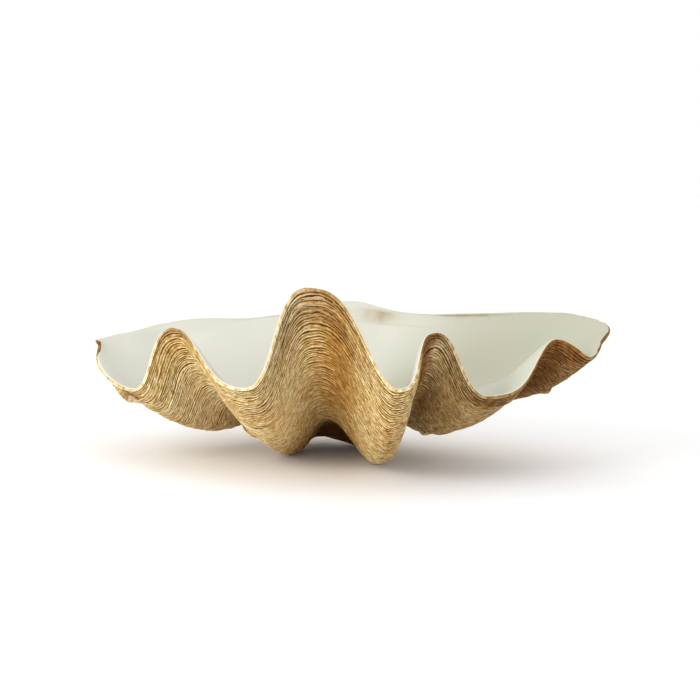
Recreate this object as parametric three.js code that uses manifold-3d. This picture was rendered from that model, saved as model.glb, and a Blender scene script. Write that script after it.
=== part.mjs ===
// One valve of a giant clam, lying on its back with the hollow side up.
// A shell grows by adding lines at its lip, and each line is a larger copy of
// the one before it, turned a little about the hinge. The valve is built the
// same way: the lip is drawn once, then shrunk and turned back to the beak.
// Millimetres, +Z up, +X along the hinge, the hinge at the back (+Y).

import * as THREE from "three";
import { mergeVertices } from "three/addons/utils/BufferGeometryUtils.js";
import Module from "manifold-3d";

// The lip, once round from the hinge: ribs reach out and dip, and the edge
// rises to a crest between each two ribs. Each row holds x, y, z, then how far
// along its flank the edge is half way, how steep that flank is (0 is a plain
// curve), and the number of columns of faces up to the next row.
const LIP = [
  [-7, -6, 24, 0.5, 0, 4], // hinge, where the plate stands up in the middle
  [-128, -16, 4, 0.5, 0, 3], // left back edge
  [-230, -56, 8, 0.5, 0, 3],
  [-302, -120, 3, 0.5, 0, 5],
  [-354, -190, -3, 0.27, 1.6, 9], // left tip
  [-294, -308, -42, 0.5, 2.6, 7], // first rib
  [-230, -313, 39, 0.39, 1.9, 7], // first crest
  [-146, -387, -25, 0.49, 2.6, 7], // second rib
  [-52, -371, 99, 0.56, 1.75, 7], // second crest, the tallest
  [50, -436, -17, 0.57, 2.7, 7], // third rib
  [103, -339, 37, 0.45, 2.1, 7], // third crest
  [181, -314, -53, 0.64, 2.0, 7], // fourth rib
  [269, -257, 12, 0.5, 1.3, 6], // fourth crest
  [313, -256, -13, 0.5, 1.6, 4], // fifth rib
  [336, -212, 1, 0.5, 0, 3], // right flank
  [355, -150, 12, 0.5, 0, 3], // right tip
  [303, -72, 18, 0.5, 0, 3], // right back edge
  [187, -35, 12, 0.5, 0, 3],
  [87, -14, 8, 0.5, 0, 4],
];
const FIRST_RIB = 5;
const LAST_RIB = 13;

// Growth
const BEAK = new THREE.Vector3(-4, 0, 3);
const HINGE_AXIS = new THREE.Vector3(1, 0, 0);
const SMALLEST = 0.05; // size of the first growth line, with the lip as 1
const ROWS = 24;
const TURN_RATE = 1.51; // turn about the hinge for each e-fold of growth
const TURN_LAG = 0.76;
const TURN_LAG_SPAN = 1.5;
const BEAK_CURL = 0.3; // the beak itself curls further over
const CURL_FROM = 1.1; // in e-folds of growth
const CURL_TO = 2.4;
const FOLD_ONSET = 0.6; // size at which the ribs have grown strong
const RIB_SPREAD = 0.18; // young ribs are broader than the gaps between them
const SWELLING = 0.165; // the swollen part of the valve below the beak
const SWELLING_WIDTH = 0.3; // how much of the swelling goes sideways
const SWELLING_SIZE = 0.35;
const SWELLING_SPAN = 0.082;

// Bulges: the row of the lip each lies below, its span along the lip in rows,
// the size of its growth line, its span in size, and how far it stands out
const BULGES = [
  [7, 0.55, 0.52, 0.13, 0.08], // the second rib, where the valve stands on it
  [8, 0.6, 0.35, 0.08, 0.167], // behind the tallest crest
  [9.5, 0.35, 0.72, 0.16, 0.036], // right flank of the third rib
  [13.6, 0.6, 0.85, 0.15, 0.023], // right end
  [4.05, 0.14, 1, 0.02, -0.022], // the rim curls in at the left tip
];

// Wall and hollow
const LIP_WALL = 7;
const WALL_GAIN = 38; // extra wall for each unit that the size falls
const LIP_ROUND = 2.5;
const FOLLOW_ROWS = 6; // rows in which the hollow follows the outside closely
const FOLLOW = 0.45; // growth followed in those rows at the front
const FOLLOW_MORE = 0.15; // growth followed while the hollow fills out
const HOLLOW_ROWS = 13;
const HOLLOW_CENTRE = new THREE.Vector3(-5, -110, -98);
const HOLLOW_EASE = 1.3;
const HOLLOW_SAG = 25;
const HINGE_LEDGE = 30; // the thick level plate that carries the hinge

// Rest: the valve stands on two ribs and the swelling behind them
const REST_PITCH = 3.7; // degrees, front down
const REST_ROLL = -2.68; // degrees
const WORN_DEPTH = 1.2; // each foot is worn flat by this much

const calmHeights = LIP.map((row, i) => calmHeight(row, i));
const calmLip = new THREE.CatmullRomCurve3(
  LIP.map((row, i) => new THREE.Vector3(row[0], row[1], calmHeights[i])),
  true,
  "catmullrom",
  0.5,
);

// Height of the lip with its folds smoothed away
function calmHeight(row, i) {
  if (i < FIRST_RIB || i > LAST_RIB) return row[2];
  return 0.5 * row[2] + 0.25 * (LIP[i - 1][2] + LIP[i + 1][2]);
}

// Height of the folded lip at a place u round it (0 to 1)
function foldedHeight(u, size) {
  const place = u * LIP.length;
  const i = Math.floor(place) % LIP.length;
  const t = place - Math.floor(place);
  const here = LIP[i];
  const next = LIP[(i + 1) % LIP.length];
  if (here[4] === 0) return calmLip.getPoint(u % 1).z;
  const isRib = i % 2 === FIRST_RIB % 2 && i >= FIRST_RIB;
  const spread = RIB_SPREAD * (1 - size) * (isRib ? 1 : -1);
  const middle = THREE.MathUtils.clamp(here[3] + spread, 0.12, 0.88);
  const along = Math.pow(t, Math.log(0.5) / Math.log(middle));
  const rise = Math.pow(along, here[4]);
  const fall = Math.pow(1 - along, here[4]);
  return here[2] + ((next[2] - here[2]) * rise) / (rise + fall);
}

function foldStrength(size) {
  const strength = (s) => 1 - Math.exp(-((s / FOLD_ONSET) ** 2));
  return strength(size) / strength(1);
}

function turnAt(size) {
  const age = Math.log(1 / size);
  const lag = 1 - Math.exp(-((age / TURN_LAG_SPAN) ** 2));
  const curl = THREE.MathUtils.smoothstep(age, CURL_FROM, CURL_TO);
  return TURN_RATE * age - TURN_LAG * lag + BEAK_CURL * curl;
}

function hump(value, middle, span) {
  return Math.exp(-(((value - middle) / span) ** 2));
}

function bulgeAt(u, size) {
  let bulge = 0;
  for (const [row, rowSpan, middle, span, amount] of BULGES) {
    bulge += amount * hump(u * LIP.length, row, rowSpan) * hump(size, middle, span);
  }
  return bulge;
}

// A point of the outside: place u round the lip, on the growth line of that size
function outerPoint(place, size) {
  const u = ((place % 1) + 1) % 1;
  const calm = calmLip.getPoint(u);
  const fold = foldStrength(size) * (foldedHeight(u, size) - calm.z);
  const swelling = SWELLING * hump(size, SWELLING_SIZE, SWELLING_SPAN);
  const scale = size * (1 + bulgeAt(u, size));
  const point = new THREE.Vector3(calm.x, calm.y, calm.z + fold).sub(BEAK).multiplyScalar(scale);
  point.x *= 1 + SWELLING_WIDTH * swelling;
  point.y *= 1 + swelling;
  point.z *= 1 + swelling;
  return point.applyAxisAngle(HINGE_AXIS, turnAt(size)).add(BEAK);
}

// The direction from the outside straight into the wall
function inwardAt(u, size) {
  const across = outerPoint(u + 0.002, size).sub(outerPoint(u - 0.002, size));
  const down = outerPoint(u, size - 0.004).sub(outerPoint(u, size));
  return across.cross(down).normalize();
}

// How far the lip at u is on the free side: 0 at the hinge edge, 1 at the front
function freeSide(u) {
  return THREE.MathUtils.smoothstep(-calmLip.getPoint(u).y, 70, 230);
}

function wallDirection(u, size) {
  const edge = calmLip.getTangent(u);
  const level = new THREE.Vector3(-edge.y, edge.x, 0).normalize();
  const free = freeSide(u);
  return inwardAt(u, size).multiplyScalar(free).addScaledVector(level, 1 - free).normalize();
}

function innerPoint(u, size) {
  const wall = LIP_WALL + WALL_GAIN * (1 - size);
  return outerPoint(u, size).addScaledVector(wallDirection(u, size), wall);
}

// The middle of the lip's rounded edge
function lipPoint(u) {
  const outward = outerPoint(u, 1).sub(outerPoint(u, 0.985)).normalize();
  const across = wallDirection(u, 1);
  outward.addScaledVector(across, -outward.dot(across)).normalize();
  return outerPoint(u, 1).addScaledVector(across, LIP_WALL / 2).addScaledVector(outward, LIP_ROUND);
}

// The size of the growth line where the hollow leaves the outside's shape
function leavingSize(u) {
  return 1 - FOLLOW * freeSide(u);
}

// From the followed part of the wall (t = 0) to the hollow's centre (t = 1),
// over the hinge plate at the back
function hollowPoint(u, t) {
  const free = freeSide(u);
  const fill = t ** HOLLOW_EASE;
  const wall = innerPoint(u, leavingSize(u) - FOLLOW_MORE * free * t);
  const level = HOLLOW_CENTRE.clone().sub(wall).setZ(0).normalize();
  wall.addScaledVector(level, (1 - free) * HINGE_LEDGE * Math.min(1, 4 * t));
  const point = wall.lerp(HOLLOW_CENTRE, fill);
  point.z -= HOLLOW_SAG * (1 - free) * Math.sin(Math.PI * fill);
  return point;
}

// Places round the lip, one for each column of faces
function columnPlaces() {
  const places = [];
  LIP.forEach((row, i) => {
    for (let k = 0; k < row[5]; k += 1) places.push((i + k / row[5]) / LIP.length);
  });
  return places;
}

// Every ring of the closed skin, from the beak round the lip to the hollow
function rings(places) {
  const list = [];
  for (let j = ROWS; j >= 0; j -= 1) {
    const size = Math.pow(SMALLEST, j / ROWS);
    list.push(places.map((u) => outerPoint(u, size)));
  }
  list.push(places.map(lipPoint));
  for (let j = 0; j < FOLLOW_ROWS; j += 1) {
    const part = j / FOLLOW_ROWS;
    list.push(places.map((u) => innerPoint(u, 1 - (1 - leavingSize(u)) * part)));
  }
  for (let j = 0; j < HOLLOW_ROWS; j += 1) {
    list.push(places.map((u) => hollowPoint(u, j / HOLLOW_ROWS)));
  }
  return list;
}

function middleOf(ring) {
  const sum = new THREE.Vector3();
  ring.forEach((point) => sum.add(point));
  return sum.divideScalar(ring.length);
}

// Joins the rings into one closed skin, with a point to close each end
function skin() {
  const list = rings(columnPlaces());
  const count = list[0].length;
  const points = [middleOf(list[0]), ...list.flat(), HOLLOW_CENTRE];
  const faces = [];
  const at = (row, column) => 1 + row * count + (column % count);
  for (let c = 0; c < count; c += 1) {
    faces.push(0, at(0, c + 1), at(0, c));
    faces.push(points.length - 1, at(list.length - 1, c), at(list.length - 1, c + 1));
  }
  for (let r = 0; r + 1 < list.length; r += 1) {
    for (let c = 0; c < count; c += 1) {
      faces.push(at(r, c), at(r + 1, c + 1), at(r + 1, c));
      faces.push(at(r, c), at(r, c + 1), at(r + 1, c + 1));
    }
  }
  const geometry = new THREE.BufferGeometry();
  const numbers = points.flatMap((point) => point.toArray());
  geometry.setAttribute("position", new THREE.Float32BufferAttribute(numbers, 3));
  geometry.setIndex(faces);
  return geometry;
}

// Sets the valve down on its feet, centred over the origin
function settle(geometry) {
  geometry.rotateX(THREE.MathUtils.degToRad(REST_PITCH));
  geometry.rotateY(THREE.MathUtils.degToRad(REST_ROLL));
  geometry.computeBoundingBox();
  const box = geometry.boundingBox;
  const middle = box.getCenter(new THREE.Vector3());
  return geometry.translate(-middle.x, -middle.y, -box.min.z - WORN_DEPTH);
}

const wasm = await Module();
wasm.setup();

function solidOf(geometry) {
  const bare = geometry.clone();
  bare.deleteAttribute("normal");
  bare.deleteAttribute("uv");
  const merged = mergeVertices(bare, 1e-4);
  return new wasm.Manifold(
    new wasm.Mesh({
      numProp: 3,
      vertProperties: Float32Array.from(merged.attributes.position.array),
      triVerts: Uint32Array.from(merged.index.array),
    }),
  );
}

function geometryOf(solid) {
  const mesh = solid.getMesh();
  const geometry = new THREE.BufferGeometry();
  geometry.setAttribute("position", new THREE.BufferAttribute(mesh.vertProperties, 3));
  geometry.setIndex(new THREE.BufferAttribute(mesh.triVerts, 1));
  geometry.computeVertexNormals();
  return geometry;
}

// Everything below the floor is what wear has taken off the feet
function wearFeet(geometry) {
  const floor = new THREE.BoxGeometry(2000, 2000, 100).translate(0, 0, -50);
  return geometryOf(solidOf(geometry).subtract(solidOf(floor)));
}

const shell = new THREE.MeshStandardMaterial({ color: "#b08c5a", roughness: 0.75, metalness: 0 });
const valve = new THREE.Mesh(wearFeet(settle(skin())), shell);
valve.name = "shell_valve";

const shellGroup = new THREE.Group();
shellGroup.add(valve);

export default shellGroup;
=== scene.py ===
"""One valve of a giant clam, lying on its back with the hollow side up.

A shell grows by adding lines of shell at its lip. Each line is a larger copy of the one
before it, turned a little about the hinge. The skin is made the same way: the lip is given
once, then shrunk and turned back to the beak, and the growth lines are raised on it.
"""

import math

import bpy
import numpy as np
from mathutils import Matrix, Vector


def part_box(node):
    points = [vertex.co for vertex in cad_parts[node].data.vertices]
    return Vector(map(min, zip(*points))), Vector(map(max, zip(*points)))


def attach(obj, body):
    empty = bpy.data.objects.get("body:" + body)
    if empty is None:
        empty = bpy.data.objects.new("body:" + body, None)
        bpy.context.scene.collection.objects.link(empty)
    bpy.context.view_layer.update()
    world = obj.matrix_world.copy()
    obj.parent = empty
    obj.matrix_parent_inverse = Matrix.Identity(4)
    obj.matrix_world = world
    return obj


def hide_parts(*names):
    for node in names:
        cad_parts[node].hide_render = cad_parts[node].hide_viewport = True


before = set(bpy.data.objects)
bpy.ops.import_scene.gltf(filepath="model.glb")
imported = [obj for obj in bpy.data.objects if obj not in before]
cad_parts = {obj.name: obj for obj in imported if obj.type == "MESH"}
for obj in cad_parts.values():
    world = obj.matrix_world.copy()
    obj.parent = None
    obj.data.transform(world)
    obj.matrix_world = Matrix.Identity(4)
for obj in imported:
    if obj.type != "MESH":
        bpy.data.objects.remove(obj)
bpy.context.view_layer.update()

MM = 0.001

# The lip once round from the hinge, in mm from the hinge: x, y, z, then how far along its
# flank the edge is half way, and how steep the flank is (0 is a plain curve).
LIP = np.array([
    [-7, -6, 24, 0.5, 0],  # hinge, where the plate stands up in the middle
    [-128, -16, 4, 0.5, 0],  # left back edge
    [-230, -56, 8, 0.5, 0],
    [-302, -120, 3, 0.5, 0],
    [-354, -190, -3, 0.27, 1.6],  # left tip
    [-294, -308, -42, 0.5, 2.6],  # first rib
    [-230, -313, 39, 0.39, 1.9],  # first crest
    [-146, -387, -25, 0.49, 2.6],  # second rib
    [-52, -371, 99, 0.56, 1.75],  # second crest, the tallest
    [50, -436, -17, 0.57, 2.7],  # third rib
    [103, -339, 37, 0.45, 2.1],  # third crest
    [181, -314, -53, 0.64, 2.0],  # fourth rib
    [269, -257, 12, 0.5, 1.3],  # fourth crest
    [313, -256, -13, 0.5, 1.6],  # fifth rib
    [336, -212, 1, 0.5, 0],  # right flank
    [355, -150, 12, 0.5, 0],  # right tip
    [303, -72, 18, 0.5, 0],  # right back edge
    [187, -35, 12, 0.5, 0],
    [87, -14, 8, 0.5, 0],
])
TURNS = len(LIP)
FIRST_RIB = 5
LAST_RIB = 13

# Growth
BEAK = np.array([-4.0, 0.0, 3.0])
SMALLEST = 0.05
TURN_RATE = 1.51
TURN_LAG = 0.76
TURN_LAG_SPAN = 1.5
BEAK_CURL = 0.3
CURL_FROM = 1.1
CURL_TO = 2.4
FOLD_ONSET = 0.6
RIB_SPREAD = 0.18
SWELLING = 0.165
SWELLING_WIDTH = 0.3
SWELLING_SIZE = 0.35
SWELLING_SPAN = 0.082

# Bulges: the row of the lip each lies below, its span along the lip in rows, the size of
# its growth line, its span in size, and how far it stands out.
BULGES = (
    (7, 0.55, 0.52, 0.13, 0.08),  # the second rib, where the valve stands on it
    (8, 0.6, 0.35, 0.08, 0.167),  # behind the tallest crest
    (9.5, 0.35, 0.72, 0.16, 0.036),  # right flank of the third rib
    (13.6, 0.6, 0.85, 0.15, 0.023),  # right end
    (4.05, 0.14, 1.0, 0.02, -0.022),  # the rim curls in at the left tip
)

# Scales left where growth halted: row of the lip, span in rows, the growth line of the free
# edge, lines it takes to fall away behind, and height in mm.
SCALES = (
    (8.0, 0.36, 1.6, 1.5, 5.0), (7.88, 0.34, 3.6, 1.8, 4.6), (8.1, 0.30, 7.0, 2.5, 3.0),
    (7.6, 0.22, 5.0, 2.0, 2.2), (8.3, 0.25, 4.6, 2.0, 2.6), (8.0, 0.50, 12.0, 5.0, 1.6),
    (10.0, 0.34, 2.0, 3.0, 3.2), (9.95, 0.40, 6.0, 5.0, 3.4), (10.1, 0.5, 12.0, 6.0, 2.2),
    (4.85, 0.30, 4.0, 7.0, 9.0), (6.6, 0.16, 35.0, 5.0, 5.0), (10.62, 0.14, 52.0, 5.0, 6.0),
    (13.05, 0.2, 27.0, 5.0, 6.0), (5.6, 0.5, 16.0, 6.0, 1.8), (7.1, 0.5, 22.0, 8.0, 2.0),
    (6.0, 0.35, 3.0, 4.0, 1.8), (11.1, 0.5, 5.0, 4.0, 2.2), (12.3, 0.5, 9.0, 6.0, 2.4),
)

# Patches of colour on the outside, some of the dark ones painted shade: row of the lip, span
# in rows, size of the growth line, span in size, and strength.
DARK_AND_SHADED_PATCHES = (
    (9.78, 0.22, 0.80, 0.25, 1.0),  # left half of the groove under the third crest: painted shade
    (12.25, 0.75, 0.90, 0.40, 1.0),  # groove under the fourth crest: darker brown with painted shade
    (10.9, 0.50, 0.985, 0.03, 0.6),  # rim of the fourth rib
    (13.6, 0.70, 0.90, 0.40, 0.8),  # right end: darker brown, with the fall of light towards it painted in as shade
    (8.0, 1.10, 0.38, 0.16, 1.3),  # the swelling behind the tallest crest: dirt, with painted shade under the arch
    # the first of these: darker brown at the top of the tallest crest, partly painted shade under
    # its scales
    (8.0, 0.55, 0.955, 0.04, 0.6), (8.3, 0.25, 0.84, 0.16, 0.35),
    # the second of these: painted shade on the right flank of the third rib
    (8.05, 0.30, 0.70, 0.10, 0.35), (9.25, 0.2, 0.62, 0.1, 0.4),
    # the first of these: painted shade in the groove under the third crest
    (9.75, 0.2, 0.93, 0.14, 0.7), (7.35, 0.30, 0.60, 0.10, 0.4),
    # the fourth rib: darker brown, with the fall of light towards the right end painted in
    (11.2, 0.70, 0.85, 0.30, 0.35),
    (4.05, 0.16, 1.0, 0.03, 1.3), (14.6, 0.70, 1.0, 0.03, 1.2),  # the two tips
    (6.0, 0.35, 1.0, 0.02, 0.7), (10.0, 0.3, 1.0, 0.02, 0.8), (12.2, 0.6, 1.0, 0.02, 0.9),
    (8.05, 0.55, 1.0, 0.012, 0.45), (4.9, 0.25, 0.98, 0.02, 0.7),
    (10.2, 0.20, 0.78, 0.12, 0.9),
)
GOLD_PATCHES = (
    (8.32, 0.20, 0.90, 0.10, 0.9), (8.10, 0.25, 0.76, 0.22, 0.7), (6.35, 0.30, 0.95, 0.12, 0.5),
    (7.4, 0.30, 0.65, 0.12, 0.5), (8.5, 0.18, 0.62, 0.12, 0.8), (5.9, 0.30, 0.97, 0.05, 0.5),
)
PALE_PATCHES = (
    (8.72, 0.22, 0.82, 0.16, 0.25), (6.8, 0.30, 0.88, 0.12, 0.4), (5.6, 0.4, 0.77, 0.15, 1.0),
    (7.35, 0.3, 0.79, 0.12, 0.9), (9.0, 0.3, 0.55, 0.12, 0.3), (7.9, 0.3, 0.982, 0.006, 0.7),
    (10.0, 0.20, 0.975, 0.02, 0.8), (7.6, 0.22, 0.90, 0.14, 0.55), (0.0, 1.20, 0.12, 0.12, 0.9),
)

# Wall and hollow, mm
LIP_WALL = 7.0
LIP_TAPER = 2.5  # the wall thins by this much right at its edge
WALL_GAIN = 38.0
LIP_ROUND = 2.5
FOLLOW = 0.45
FOLLOW_MORE = 0.15
HOLLOW_CENTRE = np.array([-5.0, -110.0, -98.0])
HOLLOW_EASE = 1.3
HOLLOW_ROUND = 0.75  # 0 would leave the hollow a cone, 1 makes it flat in the middle
HOLLOW_LIFT = 9.0  # the floor of the hollow lies this much above HOLLOW_CENTRE
HOLLOW_SAG = 25.0
HINGE_LEDGE = 30.0
HOLLOW_EVEN = 0.3  # how quickly the folds die out towards the middle of the hollow

# Long low ridges of the hinge plate: row of the lip, span in rows, distance in from the hinge
# edge, width and height in mm. A groove has a height below 0.
HINGE_RIDGES = (
    (18.0, 1.3, 12.0, 5.0, 3.6), (18.1, 1.2, 23.0, 5.0, -3.6), (18.3, 1.0, 34.0, 6.0, 3.4),
    (0.45, 0.55, 13.0, 5.0, 3.4), (0.5, 0.5, 25.0, 6.0, -3.6),
)

# Rest
REST_PITCH = math.radians(3.7)
REST_ROLL = math.radians(-2.68)
WORN_DEPTH = 1.2
CLEARANCE = 0.2 * MM  # the skin stays this far inside the solid's box

# How finely the skin is drawn
COLUMNS = 284
LIP_ROWS = 6
WHITE_LIP_ROWS = 3  # rows of the lip's edge that already belong to the inner layer
FOLLOW_ROWS = 18
HOLLOW_ROWS = 24
LINE_STEP = 0.0062  # growth lost at each line
LINE_WIDTH = 4.5  # and the width of shell that makes on the ribs, mm
LINE_HEIGHT = 1.7  # mm, as are the next three
HALT_HEIGHT = 0.9  # swells left by slower and faster years
SHORT_HALT_HEIGHT = 0.6
GRAIN_HEIGHT = 0.22
SMOOTHING_PASSES = 160  # evens out the corners of the inside

# Camera, in metres, mm and degrees
CAMERA_TARGET = (-0.0054, -0.0075, 0.1546)
CAMERA_DISTANCE = 2.4
CAMERA_LENS = 91.08
CAMERA_ELEVATION = 7.08
CAMERA_AZIMUTH = 1.33
CAMERA_ROLL = 2.63


# ---- growth of the shell ----------------------------------------------------

def smooth_step(value, low, high):
    t = np.clip((value - low) / (high - low), 0.0, 1.0)
    return t * t * (3.0 - 2.0 * t)


def hump(value, middle, span):
    return np.exp(-((value - middle) / span) ** 2)


def unit(vectors):
    lengths = np.linalg.norm(vectors, axis=-1, keepdims=True)
    return vectors / np.maximum(lengths, 1e-9)


def calm_rows():
    """The lip's rows with the folds smoothed out of their heights."""
    rows = LIP[:, :3].copy()
    for i in range(FIRST_RIB, LAST_RIB + 1):
        rows[i, 2] = 0.5 * LIP[i, 2] + 0.25 * (LIP[i - 1, 2] + LIP[i + 1, 2])
    return rows


CALM_ROWS = calm_rows()


def row_and_step(u):
    place = (np.asarray(u, float) % 1.0) * TURNS
    i = np.floor(place).astype(int) % TURNS
    return i, place - np.floor(place)


def calm_lip(u):
    i, t = row_and_step(u)
    t = t[..., None]
    before, here = CALM_ROWS[(i - 1) % TURNS], CALM_ROWS[i]
    after, far = CALM_ROWS[(i + 1) % TURNS], CALM_ROWS[(i + 2) % TURNS]
    leave, arrive = 0.5 * (after - before), 0.5 * (far - here)
    bend = -3.0 * here + 3.0 * after - 2.0 * leave - arrive
    twist = 2.0 * here - 2.0 * after + leave + arrive
    return here + leave * t + bend * t ** 2 + twist * t ** 3


def folded_height(u, size):
    i, t = row_and_step(u)
    is_rib = (i % 2 == FIRST_RIB % 2) & (i >= FIRST_RIB)
    spread = RIB_SPREAD * (1.0 - size) * np.where(is_rib, 1.0, -1.0)
    middle = np.clip(LIP[i, 3] + spread, 0.12, 0.88)
    steep = np.maximum(LIP[i, 4], 1.0)
    along = t ** (math.log(0.5) / np.log(middle))
    rise = along ** steep
    fall = (1.0 - along) ** steep
    here, after = LIP[i, 2], LIP[(i + 1) % TURNS, 2]
    folded = here + (after - here) * rise / (rise + fall)
    return np.where(LIP[i, 4] > 0.0, folded, calm_lip(u)[..., 2])


def fold_strength(size):
    full = 1.0 - math.exp(-(1.0 / FOLD_ONSET) ** 2)
    return (1.0 - np.exp(-(size / FOLD_ONSET) ** 2)) / full


def turn_at(size):
    age = np.log(1.0 / size)
    lag = TURN_LAG * (1.0 - np.exp(-(age / TURN_LAG_SPAN) ** 2))
    return TURN_RATE * age - lag + BEAK_CURL * smooth_step(age, CURL_FROM, CURL_TO)


def patches(table, u, size):
    """Sum of soft patches that are set by row of the lip and size of the growth line."""
    total = 0.0
    for row, row_span, middle, span, strength in table:
        away = (u * TURNS - row + TURNS / 2) % TURNS - TURNS / 2
        total = total + strength * hump(away, 0.0, row_span) * hump(size, middle, span)
    return total


def outside(u, size):
    """Points of the outside, in mm: places u round the lip, on growth lines of that size."""
    u, size = np.broadcast_arrays(np.asarray(u, float) % 1.0, np.asarray(size, float))
    calm = calm_lip(u)
    fold = fold_strength(size) * (folded_height(u, size) - calm[..., 2])
    swelling = SWELLING * hump(size, SWELLING_SIZE, SWELLING_SPAN)
    scale = size * (1.0 + patches(BULGES, u, size))
    x = (calm[..., 0] - BEAK[0]) * scale * (1.0 + SWELLING_WIDTH * swelling)
    y = (calm[..., 1] - BEAK[1]) * scale * (1.0 + swelling)
    z = (calm[..., 2] + fold - BEAK[2]) * scale * (1.0 + swelling)
    turn = turn_at(size)
    back = y * np.cos(turn) - z * np.sin(turn)
    up = y * np.sin(turn) + z * np.cos(turn)
    return np.stack([x, back, up], -1) + BEAK


def into_wall(u, size):
    across = outside(u + 0.002, size) - outside(u - 0.002, size)
    down = outside(u, size - 0.004) - outside(u, size)
    return unit(np.cross(across, down))


def free_side(u):
    """0 along the hinge edge, 1 along the front of the lip."""
    return smooth_step(-calm_lip(u)[..., 1], 70.0, 230.0)


def wall_direction(u, size):
    edge = calm_lip(u + 1e-4) - calm_lip(u - 1e-4)
    level = unit(np.stack([-edge[..., 1], edge[..., 0], 0.0 * edge[..., 0]], -1))
    free = free_side(u)[..., None]
    return unit(into_wall(u, size) * free + level * (1.0 - free))


def inside(u, size):
    grown = 1.0 - np.asarray(size)
    wall = LIP_WALL - LIP_TAPER * np.exp(-grown / 0.03) + WALL_GAIN * grown
    return outside(u, size) + wall_direction(u, size) * wall[..., None]


def leaving_size(u):
    return 1.0 - FOLLOW * free_side(u)


def hollow(u, t):
    """Points of the hollow, from where it leaves the outside's shape to its centre."""
    free = free_side(u)[..., None]
    wall = inside(u, leaving_size(u) - FOLLOW_MORE * free_side(u) * t)
    level = HOLLOW_CENTRE - wall
    level[..., 2] = 0.0
    wall = wall + unit(level) * (1.0 - free) * HINGE_LEDGE * min(1.0, 4.0 * t)
    fill = t ** HOLLOW_EASE
    sink = fill + HOLLOW_ROUND * fill * (1.0 - fill)
    centre = HOLLOW_CENTRE + np.array([0.0, 0.0, HOLLOW_LIFT])
    points = wall * (1.0 - fill) + centre * fill
    points[..., 2] = wall[..., 2] * (1.0 - sink) + centre[2] * sink
    points[..., 2] -= HOLLOW_SAG * (1.0 - free[..., 0]) * math.sin(math.pi * fill)
    return points


# ---- unevenness that growth leaves ------------------------------------------

def uneven(u, line, cells_round, cells_along, seed):
    """Smooth random values from -1 to 1, joined up round the lip.

    cells_round is how many there are once round, and cells_along how many to a growth line.
    """
    lattice = np.random.default_rng(seed).uniform(-1.0, 1.0, (400, cells_round))
    a = (u % 1.0) * cells_round
    b = line * cells_along
    i, j = np.floor(a).astype(int), np.floor(b).astype(int)
    s, t = a - i, b - j
    s, t = s * s * (3 - 2 * s), t * t * (3 - 2 * t)
    i0, i1 = i % cells_round, (i + 1) % cells_round
    j0, j1 = j % 400, (j + 1) % 400
    low = lattice[j0, i0] * (1 - s) + lattice[j0, i1] * s
    high = lattice[j1, i0] * (1 - s) + lattice[j1, i1] * s
    return low * (1 - t) + high * t


def growth_rows():
    """Rows of the outside from the lip to the beak: size and place in the run of lines.

    Lines that lie under the valve are drawn coarser, and the oldest coarser still.
    """
    rows = []
    size, line = 1.0, 0
    while size > SMALLEST:
        if size > 0.6:
            step, parts = LINE_STEP, (0.0, 0.35, 0.7)
        elif size > 0.3:
            step, parts = 1.6 * LINE_STEP, (0.0, 0.6)
        else:
            step, parts = 2.0 * LINE_STEP, (0.0, 0.6) if line % 2 else (0.0,)
        rows += [(size - part * step, line + part, step) for part in parts]
        size -= step
        line += 1
    return rows


def line_shape(line):
    """Height of a growth line: 1 at its free edge, falling away towards the beak."""
    part = line - np.floor(line)
    return 1.0 - np.clip(part / 0.7, 0.0, 1.0) ** 1.8


def line_strength(u, line):
    """Growth lines swell and fade along their length, and break up into beads.

    They stand highest close to the lip.
    """
    whole = np.floor(line) + 0.5
    swell = 0.6 + 0.4 * uneven(u, whole, 60, 0.55, 3)
    beads = 0.3 * uneven(u, whole, 142, 0.9, 4)
    pairs = 1.0 + 0.6 * in_groove(u) * np.where(np.floor(line) % 2, 1.0, -1.0)
    near_lip = 1.0 + 0.7 * np.exp(-line / 5.0)
    return np.clip(swell + beads, 0.05, 1.3) * pairs * near_lip


def in_groove(u):
    """1 in the middle of the grooves under the lip's crests: lines join in pairs there."""
    away = (u * TURNS - FIRST_RIB) % 2.0 - 1.0
    front = (u * TURNS > FIRST_RIB) & (u * TURNS < LAST_RIB)
    return hump(away, 0.0, 0.35) * front


def scale_height(u, line):
    height = 0.0
    for row, span, edge, fall, top in SCALES:
        ragged = edge + 0.8 * uneven(u, 0 * u, 71, 1, int(10 * row))
        behind = np.clip((line - ragged) / fall, 0.0, 1.0)
        standing = np.where(line >= ragged, 1.0 - behind, 0.0) ** 1.3
        height = height + top * standing * hump(u * TURNS, row, span)
    return height


def wander(u, line):
    """Growth lines wander, part and meet, measured in lines."""
    near = 0.5 * uneven(u, line, 118, 0.5, 11) + 0.5 * uneven(u, line, 41, 0.2, 13)
    far = 1.3 * uneven(u, line, 13, 0.11, 12)
    worn = smooth_step(line, 110.0, 60.0)
    return (near * worn + far) * smooth_step(line, 0.0, 4.0)


def relief(u, line, size):
    """Height of the outside's relief over the smooth form, mm."""
    lines = LINE_HEIGHT * line_strength(u, line) * (line_shape(line) - 0.45)
    halts = HALT_HEIGHT * uneven(u, line, 9, 0.16, 21)
    halts = halts + SHORT_HALT_HEIGHT * uneven(u, line, 24, 0.3, 23)
    grain = GRAIN_HEIGHT * uneven(u, line, 142, 1.7, 22)
    fade = 0.55 * smooth_step(size, SMALLEST, 0.2) + 0.45 * smooth_step(size, 0.2, 0.6)
    ends = 0.65 + 0.35 * free_side(u)
    settled = smooth_step(line, 0.0, 2.0)
    return ((lines + grain) * ends + halts * settled + scale_height(u, line) * settled) * fade


# ---- the skin as rows of points ---------------------------------------------

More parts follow.
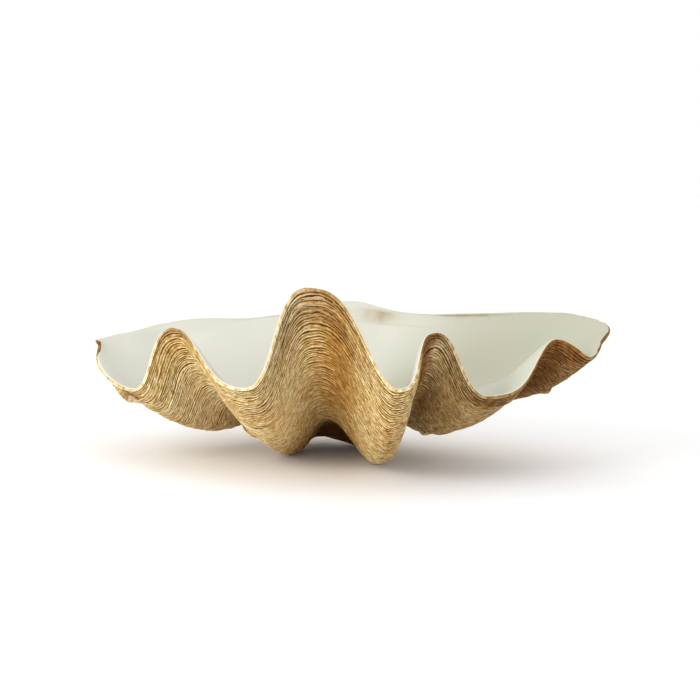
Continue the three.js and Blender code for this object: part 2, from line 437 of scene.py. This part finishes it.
def spread_places():
    """Places round the lip, closer together along its folded front than at the hinge."""
    fine = np.linspace(0.0, 1.0, 6001)
    steps = np.linalg.norm(np.diff(outside(fine, 1.0), axis=0), axis=1)
    count = steps * (0.55 + 0.45 * free_side(fine[1:]))
    along, share = np.append(0.0, np.cumsum(steps)), np.append(0.0, np.cumsum(count))
    u = np.interp(np.linspace(0, share[-1], COLUMNS + 1), share, fine)
    return u, np.interp(u, fine, along)


def outside_rows(u):
    """Rows from the beak to the lip, with each row's place in the run of lines."""
    points, sizes, gaps, raised = [], [], [], []
    for size, line, step in growth_rows()[::-1]:
        whole = np.full_like(u, line)
        here = np.clip(size - wander(u, whole) * step, SMALLEST, 1.0)
        height = relief(u, whole, here)
        points.append(outside(u, here) - into_wall(u, here) * height[:, None])
        sizes.append(size)
        strength = line_strength(u, whole)
        # how deep each row lies in the gap between lines, painted dark as shade in the finish
        gaps.append((1.0 - line_shape(whole)) * strength)
        # raised edges, painted pale in the finish: part rubbed wear, part painted highlight
        raised.append(line_shape(whole) ** 4 * strength + 0.35 * scale_height(u, whole))
    return points, sizes, gaps, raised


def lip_rows(u):
    """The rounded edge, a little nibbled and falling away towards the inside."""
    edge = outside(u, 1.0)
    across = wall_direction(u, np.ones_like(u))
    outward = unit(edge - outside(u, 0.985))
    outward = unit(outward - across * np.sum(outward * across, -1, keepdims=True))
    nibble = 1.1 * uneven(u, 0 * u, 142, 1, 31) + 1.4 * uneven(u, 0 * u, 61, 1, 32)
    rows = []
    for k in range(1, LIP_ROWS + 1):
        part = k / (LIP_ROWS + 1)
        reach = (LIP_ROUND + nibble) * math.sin(math.pi * part ** 0.6)
        step = (LIP_WALL - LIP_TAPER) * 0.5 * (1.0 - math.cos(math.pi * part))
        rows.append(edge + across * step + outward * reach[:, None])
    return rows


def inside_rows(u):
    rows = []
    for k in range(FOLLOW_ROWS):
        size = 1.0 - (1.0 - leaving_size(u)) * k / FOLLOW_ROWS
        rows.append(inside(u, size))
    for k in range(HOLLOW_ROWS):
        rows.append(hollow(u, k / HOLLOW_ROWS))
    rows = dished(evened(smoothed(np.array(rows))))
    depth = depth_inside(rows)
    rows[..., 2] += hinge_ridges(u, depth)
    return rows, depth


def depth_inside(rows):
    """How far each point lies in from the lip along the inside, mm."""
    steps = np.linalg.norm(np.diff(rows, axis=0), axis=-1)
    return np.concatenate([np.zeros_like(steps[:1]), np.cumsum(steps, axis=0)])


def hinge_ridges(u, depth):
    height = 0.0
    for row, span, middle, width, top in HINGE_RIDGES:
        away = (u * TURNS - row + TURNS / 2) % TURNS - TURNS / 2
        height = height + top * hump(away, 0.0, span) * hump(depth, middle, width)
    return height


def dish_terms(points):
    """The terms of a smooth surface of the fourth degree in x and y."""
    x, y = points[..., 0] / 200.0, (points[..., 1] - HOLLOW_CENTRE[1]) / 100.0
    return np.stack([x ** i * y ** j for i in range(5) for j in range(5 - i)], -1)


def dished(rows):
    """The middle of the hollow is drawn towards the one smooth dish that fits it best."""
    middle = rows[FOLLOW_ROWS + 3:, :-1].reshape(-1, 3)
    fit = np.linalg.lstsq(dish_terms(middle), middle[:, 2], rcond=None)[0]
    inward = smooth_step(np.arange(len(rows)), FOLLOW_ROWS - 3, FOLLOW_ROWS + 8)[:, None]
    rows[..., 2] += inward * (dish_terms(rows) @ fit - rows[..., 2])
    return rows


def evened(rows):
    """The folds die out towards the middle of the hollow, the short ones first."""
    waves = np.fft.rfft(rows[:, :-1], axis=1)
    order = np.arange(waves.shape[1])[None, :, None]
    inward = smooth_step(np.arange(len(rows)), FOLLOW_ROWS - 8, len(rows) - 1)[:, None, None]
    waves = waves * np.exp(-(HOLLOW_EVEN * order * inward) ** 2)
    rows = rows.copy()
    rows[:, :-1] = np.fft.irfft(waves, COLUMNS, axis=1)
    rows[:, -1] = rows[:, 0]
    return rows


def smoothed(rows):
    """Shell laid down inside evens out the corners, except close to the lip."""
    share = smooth_step(np.arange(len(rows)), 2, FOLLOW_ROWS)[:, None, None]
    for _ in range(SMOOTHING_PASSES):
        above = np.concatenate([rows[:1], rows[:-1]])
        middle = rows[-1:, :-1].mean(1, keepdims=True)
        below = np.concatenate([rows[1:], np.broadcast_to(middle, rows[:1].shape)])
        left, right = rows[:, np.r_[-2, 0:COLUMNS]], rows[:, np.r_[1:COLUMNS + 1, 1]]
        mean = 0.25 * (above + below + left + right)
        rows = rows + 0.5 * share * (mean - rows)
    return rows


def laid_down(points):
    """Turns the valve to the way it rests and sets it on the floor, in the solid's box."""
    cp, sp = math.cos(REST_PITCH), math.sin(REST_PITCH)
    cr, sr = math.cos(REST_ROLL), math.sin(REST_ROLL)
    x, y, z = points[..., 0], points[..., 1], points[..., 2]
    y, z = y * cp - z * sp, y * sp + z * cp
    x, z = x * cr + z * sr, z * cr - x * sr
    z = z - z.min() - WORN_DEPTH
    points = np.stack([x, y, np.maximum(z, 0.0)], -1) * MM
    low, high = (np.array(corner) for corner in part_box("shell_valve"))
    low, high = low + CLEARANCE * np.array([1, 1, 0]), high - CLEARANCE
    own_low, own_high = points.min((0, 1)), points.max((0, 1))
    return low + (points - own_low) * (high - low) / (own_high - own_low)


def skin_rows():
    """Every row of the skin, and what the finishes need to know about each point."""
    u, along = spread_places()
    points, sizes, gaps, raised = outside_rows(u)
    outer_count = len(points)
    inner, inner_depth = inside_rows(u)
    points += lip_rows(u) + list(inner)
    beak_tip = np.broadcast_to(points[0][:-1].mean(0), points[0].shape)
    hollow_middle = np.broadcast_to(inner[-1, :-1].mean(0), points[0].shape)
    points = [beak_tip] + points + [hollow_middle]
    count = len(points)
    inside_count = count - outer_count - 1
    size = np.concatenate([[sizes[0]], sizes, np.ones(inside_count)])[:, None]
    places = np.broadcast_to(u, (count, COLUMNS + 1))
    gap_shade = np.zeros((count, COLUMNS + 1))
    gap_shade[1:outer_count + 1] = gaps
    crest = np.full(gap_shade.shape, 0.3)
    crest[1:outer_count + 1] = raised
    row = places * TURNS
    past_lip = np.arange(count) - outer_count - LIP_ROWS
    rim = np.exp(-np.clip(past_lip + 2.5, 0, 99) / 0.9)
    in_mm = np.full(gap_shade.shape, 999.0)
    in_mm[-len(inner) - 1:-1] = inner_depth
    values = {
        "gap_shade": gap_shade,
        "crest": crest,
        "dark_and_shade": patches(DARK_AND_SHADED_PATCHES, places, size),
        "gold": patches(GOLD_PATCHES, places, size),
        "pale": patches(PALE_PATCHES, places, size),
        "rim": np.broadcast_to(rim[:, None], crest.shape),
        "stain": stain(places, in_mm),
        # painted shade: the inside darkens towards the right end, away from the light
        "right_end_shade": smooth_step(row, 9.5, 14.0) * (1 - smooth_step(row, 16, 18.5)),
    }
    return laid_down(np.array(points)), values, size[:, 0], u, along, outer_count + 1


def stain(places, depth):
    """Yellow-brown stains just inside the hinge edge, from the ligament that joined it."""
    row = places * TURNS
    shoulder = hump(row, 18.45, 0.3) * hump(depth, 14.0, 9.0)
    edge = (hump(row, 17.2, 0.5) + 0.5 * hump(row, 1.0, 0.4)) * hump(depth, 4.0, 6.0)
    return 1.3 * shoulder + 1.9 * edge


# ---- making the piece --------------------------------------------------------

def start_grid(rows):
    """A flat grid with one row of points for each growth line, ready to be shaped."""
    bpy.ops.object.select_all(action="DESELECT")
    bpy.ops.mesh.primitive_grid_add(x_subdivisions=COLUMNS, y_subdivisions=rows - 1, size=2.0)
    return bpy.context.object


def add_values(mesh, name, values):
    layer = mesh.attributes.new(name, "FLOAT", "POINT")
    layer.data.foreach_set("value", np.ascontiguousarray(values, dtype=np.float32).ravel())


def make_valve():
    points, values, size, places, along, lip_row = skin_rows()
    rows = len(points)
    piece = start_grid(rows)
    piece.name = "clam_valve"
    mesh = piece.data
    mesh.name = "clam_valve"
    flat = np.empty(len(mesh.vertices) * 3)
    mesh.vertices.foreach_get("co", flat)
    flat = flat.reshape(-1, 3)
    column = np.rint((flat[:, 0] + 1) * 0.5 * COLUMNS).astype(int)
    row = np.rint((flat[:, 1] + 1) * 0.5 * (rows - 1)).astype(int)
    mesh.vertices.foreach_set("co", points[row, column].ravel())
    for name, value in values.items():
        add_values(mesh, name, value[row, column])
    map_growth(mesh, size, along, rows)
    face_rows = np.repeat(np.arange(rows - 1), COLUMNS)
    face_places = np.tile(0.5 * (places[1:] + places[:-1]), rows - 1) * TURNS
    curled = 3.4 * hump(face_places, 4.05, 0.14) + 2 * hump(face_places, 14.2, 0.6)
    is_inner = face_rows >= lip_row + LIP_ROWS - 1 - WHITE_LIP_ROWS + np.rint(curled)
    mesh.polygons.foreach_set("material_index", is_inner.astype(np.int32))
    close_skin(piece)
    return piece


def map_growth(mesh, size, along, rows):
    """The map follows the lip one way and the growth of the shell the other, in metres."""
    uv = mesh.uv_layers.active
    values = np.empty(len(uv.uv) * 2, dtype=np.float32)
    uv.uv.foreach_get("vector", values)
    values = values.reshape(-1, 2)
    row = np.rint(values[:, 1] * (rows - 1)).astype(int)
    column = np.rint(values[:, 0] * COLUMNS).astype(int)
    values[:, 0] = (along[column] - 0.5 * along[-1]) * size[row] * MM
    values[:, 1] = (1.0 - size[row]) / LINE_STEP * LINE_WIDTH * MM
    uv.uv.foreach_set("vector", values.ravel())


def close_skin(piece):
    bpy.ops.object.mode_set(mode="EDIT")
    bpy.ops.mesh.select_all(action="SELECT")
    bpy.ops.mesh.remove_doubles(threshold=1e-6)
    bpy.ops.mesh.normals_make_consistent(inside=False)
    bpy.ops.mesh.faces_shade_smooth()
    bpy.ops.object.mode_set(mode="OBJECT")


# ---- materials ---------------------------------------------------------------

def linear(code):
    """An sRGB hex colour as linear red, green, blue and alpha."""
    parts = [int(code[i:i + 2], 16) / 255 for i in (1, 3, 5)]
    return [p / 12.92 if p <= 0.04045 else ((p + 0.055) / 1.055) ** 2.4 for p in parts] + [1.0]


def add(tree, kind, settings=None, inputs=None, stops=()):
    """Adds a node: settings are its options, inputs its values or incoming wires."""
    node = tree.nodes.new("ShaderNode" + kind)
    for name, value in (settings or {}).items():
        setattr(node, name, value)
    for name, value in (inputs or {}).items():
        if isinstance(value, bpy.types.NodeSocket):
            tree.links.new(value, node.inputs[name])
        else:
            node.inputs[name].default_value = value
    for count, (place, code) in enumerate(stops):
        if count >= len(node.color_ramp.elements):
            node.color_ramp.elements.new(place)
        node.color_ramp.elements[count].position = place
        node.color_ramp.elements[count].color = linear(code)
    return node


def new_material(name):
    material = bpy.data.materials.new(name)
    material.use_nodes = True
    material.node_tree.nodes.clear()
    return material, material.node_tree


RGBA = {"data_type": "RGBA"}
STAIN_AND_SHADE_BLEND = {"data_type": "RGBA", "blend_type": "MULTIPLY"}
FACTOR, FIRST, SECOND, COLOUR = 0, 6, 7, 2  # sockets of a colour mix


def weathered_shell():
    """The outer layer: chalky lime shell grown in overlapping lines, stained tan by weather.

    The raised edges are rubbed to cream and gold, with a painted highlight on them; the gaps
    between them are painted dark brown, partly dirt and partly painted shade, and darker patches
    are part stain and part painted shade in the grooves and towards the right end. The whole is
    matt.
    """
    material, tree = new_material("weathered_outer_shell")
    value = {}
    for name in ("gap_shade", "crest", "dark_and_shade", "gold", "pale"):
        value[name] = add(tree, "Attribute", {"attribute_name": name}).outputs["Fac"]
    place = add(tree, "TexCoord").outputs["Object"]
    along = add(tree, "UVMap", {"uv_map": "UVMap"}).outputs["UV"]
    # grit is about 2 mm across, patches of stain about 60 mm
    grit = add(tree, "TexNoise", None, {"Scale": 330.0, "Detail": 2.0, "Vector": place})
    patch = add(tree, "TexNoise", None, {"Scale": 15.0, "Detail": 4.0, "Vector": place})
    # beads along the growth lines: 10 mm long and 3.5 mm wide
    stretched = add(tree, "Mapping", None, {"Scale": (100.0, 285.0, 1.0), "Vector": along})
    beads = add(tree, "TexNoise", {"noise_dimensions": "2D"},
                {"Scale": 1.0, "Detail": 2.0, "Roughness": 0.65, "Vector": stretched.outputs[0]})
    # pale raised edges: rubbed wear with a painted highlight
    wear_and_painted_light = add(tree, "Math", {"operation": "MULTIPLY_ADD"}, {0: value["crest"], 1: 0.24, 2: -0.2})
    wear_and_painted_light = add(tree, "Math", {"operation": "MULTIPLY_ADD"},
              # painted shade: the gaps between growth lines are darkened, with some brown dirt
              {0: value["gap_shade"], 1: -0.95, 2: wear_and_painted_light.outputs[0]})
    wear_and_painted_light = add(tree, "Math", {"operation": "MULTIPLY_ADD"},
              {0: beads.outputs[0], 1: 1.35, 2: wear_and_painted_light.outputs[0]})
    wear_and_painted_light = add(tree, "Math", {"operation": "MULTIPLY_ADD"},
              {0: grit.outputs[0], 1: 0.4, 2: wear_and_painted_light.outputs[0]})
    wear_and_painted_light = add(tree, "Math", {"operation": "MULTIPLY_ADD"},
              {0: value["pale"], 1: 0.22, 2: wear_and_painted_light.outputs[0]})
    base = add(tree, "ValToRGB", None, {0: wear_and_painted_light.outputs[0]}, [
        (0.05, "#5c3b0e"), (0.25, "#8d672c"), (0.45, "#b08c4c"),
        (0.62, "#c7aa6b"), (0.80, "#dfc98f"), (0.98, "#f6eac6"),
    ]).outputs[0]
    gold = add(tree, "Math", {"operation": "MULTIPLY_ADD", "use_clamp": True},
               {0: patch.outputs[0], 1: 1.4, 2: -0.62})
    gold = add(tree, "Math", {"operation": "ADD", "use_clamp": True},
               {0: gold.outputs[0], 1: value["gold"]})
    base = add(tree, "Mix", STAIN_AND_SHADE_BLEND,
               {FACTOR: gold.outputs[0], FIRST: base, SECOND: linear("#ecd295")}).outputs[COLOUR]
    rose = add(tree, "ValToRGB", None, {0: patch.outputs["Color"]},
               [(0.48, "#ffffff"), (0.62, "#f0d6c8")]).outputs[0]
    base = add(tree, "Mix", STAIN_AND_SHADE_BLEND, {FACTOR: 0.35, FIRST: base, SECOND: rose}).outputs[COLOUR]
    # dark patches: brown stain, and painted shade in the grooves, on the third rib's right flank
    # and towards the right end
    base = add(tree, "Mix", STAIN_AND_SHADE_BLEND,
               {FACTOR: value["dark_and_shade"], FIRST: base, SECOND: linear("#967240")}).outputs[COLOUR]
    height = add(tree, "Math", {"operation": "MULTIPLY_ADD"},
                 {0: grit.outputs[0], 1: 0.5, 2: beads.outputs[0]})
    bump = add(tree, "Bump", None,
               {"Strength": 1.0, "Distance": 0.0018, "Height": height.outputs[0]})
    shader = add(tree, "BsdfPrincipled", None,
                 {"Roughness": 0.8, "IOR": 1.5, "Specular IOR Level": 0.3,
                  "Base Color": base, "Normal": bump.outputs[0]})
    add(tree, "OutputMaterial", None, {"Surface": shader.outputs[0]})
    return material


def porcelain_layer():
    """The inner layer: dense lime shell laid down smooth, like unglazed porcelain.

    It is a greenish off-white with a soft shine. It yellows at its rim, has faint stains
    by the hinge and has painted shade darkening it towards the right end.
    """
    material, tree = new_material("porcelain_inner_shell")
    value = {}
    for name in ("rim", "stain", "right_end_shade"):
        value[name] = add(tree, "Attribute", {"attribute_name": name}).outputs["Fac"]
    place = add(tree, "TexCoord").outputs["Object"]
    # clouds of tint about 100 mm across, ripples about 15 mm
    cloud = add(tree, "TexNoise", None, {"Scale": 9.0, "Detail": 4.0, "Vector": place})
    base = add(tree, "ValToRGB", None, {0: cloud.outputs[0]},
               [(0.35, "#cdcdc1"), (0.65, "#d4d3c6")]).outputs[0]
    # painted shade towards the right end of the inside
    base = add(tree, "Mix", RGBA,
               {FACTOR: value["right_end_shade"], FIRST: base, SECOND: linear("#b9b9a4")}).outputs[COLOUR]
    speck = add(tree, "TexNoise", None, {"Scale": 55.0, "Detail": 3.0, "Vector": place})
    broken = add(tree, "Math", {"operation": "MULTIPLY", "use_clamp": True},
                 {0: speck.outputs[0], 1: value["stain"]})
    base = add(tree, "Mix", RGBA, {FACTOR: broken.outputs[0], FIRST: base,
                                   SECOND: linear("#a08a58")}).outputs[COLOUR]
    nibbled = add(tree, "Math", {"operation": "MULTIPLY_ADD", "use_clamp": True},
                  {0: speck.outputs[0], 1: 1.5, 2: -0.5})
    nibbled = add(tree, "Math", {"operation": "MULTIPLY", "use_clamp": True},
                  {0: nibbled.outputs[0], 1: value["rim"]})
    base = add(tree, "Mix", RGBA, {FACTOR: nibbled.outputs[0], FIRST: base,
                                   SECOND: linear("#dcc28c")}).outputs[COLOUR]
    bump = add(tree, "Bump", None,
               {"Strength": 0.2, "Distance": 0.0006, "Height": speck.outputs[0]})
    shader = add(tree, "BsdfPrincipled", None,
                 {"Roughness": 0.45, "IOR": 1.52, "Base Color": base, "Normal": bump.outputs[0]})
    add(tree, "OutputMaterial", None, {"Surface": shader.outputs[0]})
    return material


# ---- camera, light and floor ------------------------------------------------

def add_camera():
    """Looks along the valve from the front, a little above the level of the floor."""
    data = bpy.data.cameras.new("camera")
    data.sensor_width = 36.0
    data.lens = CAMERA_LENS
    camera = bpy.data.objects.new("camera", data)
    bpy.context.scene.collection.objects.link(camera)
    elevation, azimuth = math.radians(CAMERA_ELEVATION), math.radians(CAMERA_AZIMUTH)
    roll = Matrix.Rotation(math.radians(CAMERA_ROLL), 4, "Z")
    away = Vector((-math.sin(azimuth) * math.cos(elevation),
                   -math.cos(azimuth) * math.cos(elevation), math.sin(elevation)))
    turn = away.to_track_quat("Z", "Y").to_matrix().to_4x4()
    place = Matrix.Translation(Vector(CAMERA_TARGET) + away * CAMERA_DISTANCE)
    camera.matrix_world = place @ turn @ roll
    bpy.context.scene.camera = camera


def add_area_light(name, place, aim, size, power):
    data = bpy.data.lights.new(name, "AREA")
    data.shape = "DISK"
    data.size = size
    data.energy = power
    light = bpy.data.objects.new(name, data)
    bpy.context.scene.collection.objects.link(light)
    light.location = place
    light.rotation_euler = (Vector(aim) - Vector(place)).to_track_quat("-Z", "Y").to_euler()


def add_studio():
    bpy.ops.object.select_all(action="DESELECT")
    bpy.ops.mesh.primitive_plane_add(size=30.0, location=(0, 0, 0))
    floor = bpy.context.object
    floor.name = "floor"
    material, tree = new_material("pale_floor")
    shader = add(tree, "BsdfPrincipled", None, {"Base Color": linear("#ffffff"), "Roughness": 1.0})
    add(tree, "OutputMaterial", None, {"Surface": shader.outputs[0]})
    floor.data.materials.append(material)
    world = bpy.data.worlds.new("studio")
    world.use_nodes = True
    world.node_tree.nodes["Background"].inputs["Color"].default_value = (1, 1, 1, 1)
    world.node_tree.nodes["Background"].inputs["Strength"].default_value = 1.0
    bpy.context.scene.world = world
    add_area_light("key", (-1.3, -1.5, 1.1), (-0.1, 0, 0.1), 0.9, 15.0)
    add_area_light("low_fill", (-1.2, -1.7, 0.3), (-0.1, 0, 0.08), 0.6, 8.0)
    bpy.context.scene.view_settings.view_transform = "Standard"


add_camera()
add_studio()
valve = make_valve()
valve.data.materials.append(weathered_shell())
valve.data.materials.append(porcelain_layer())
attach(valve, "root")
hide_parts("shell_valve")
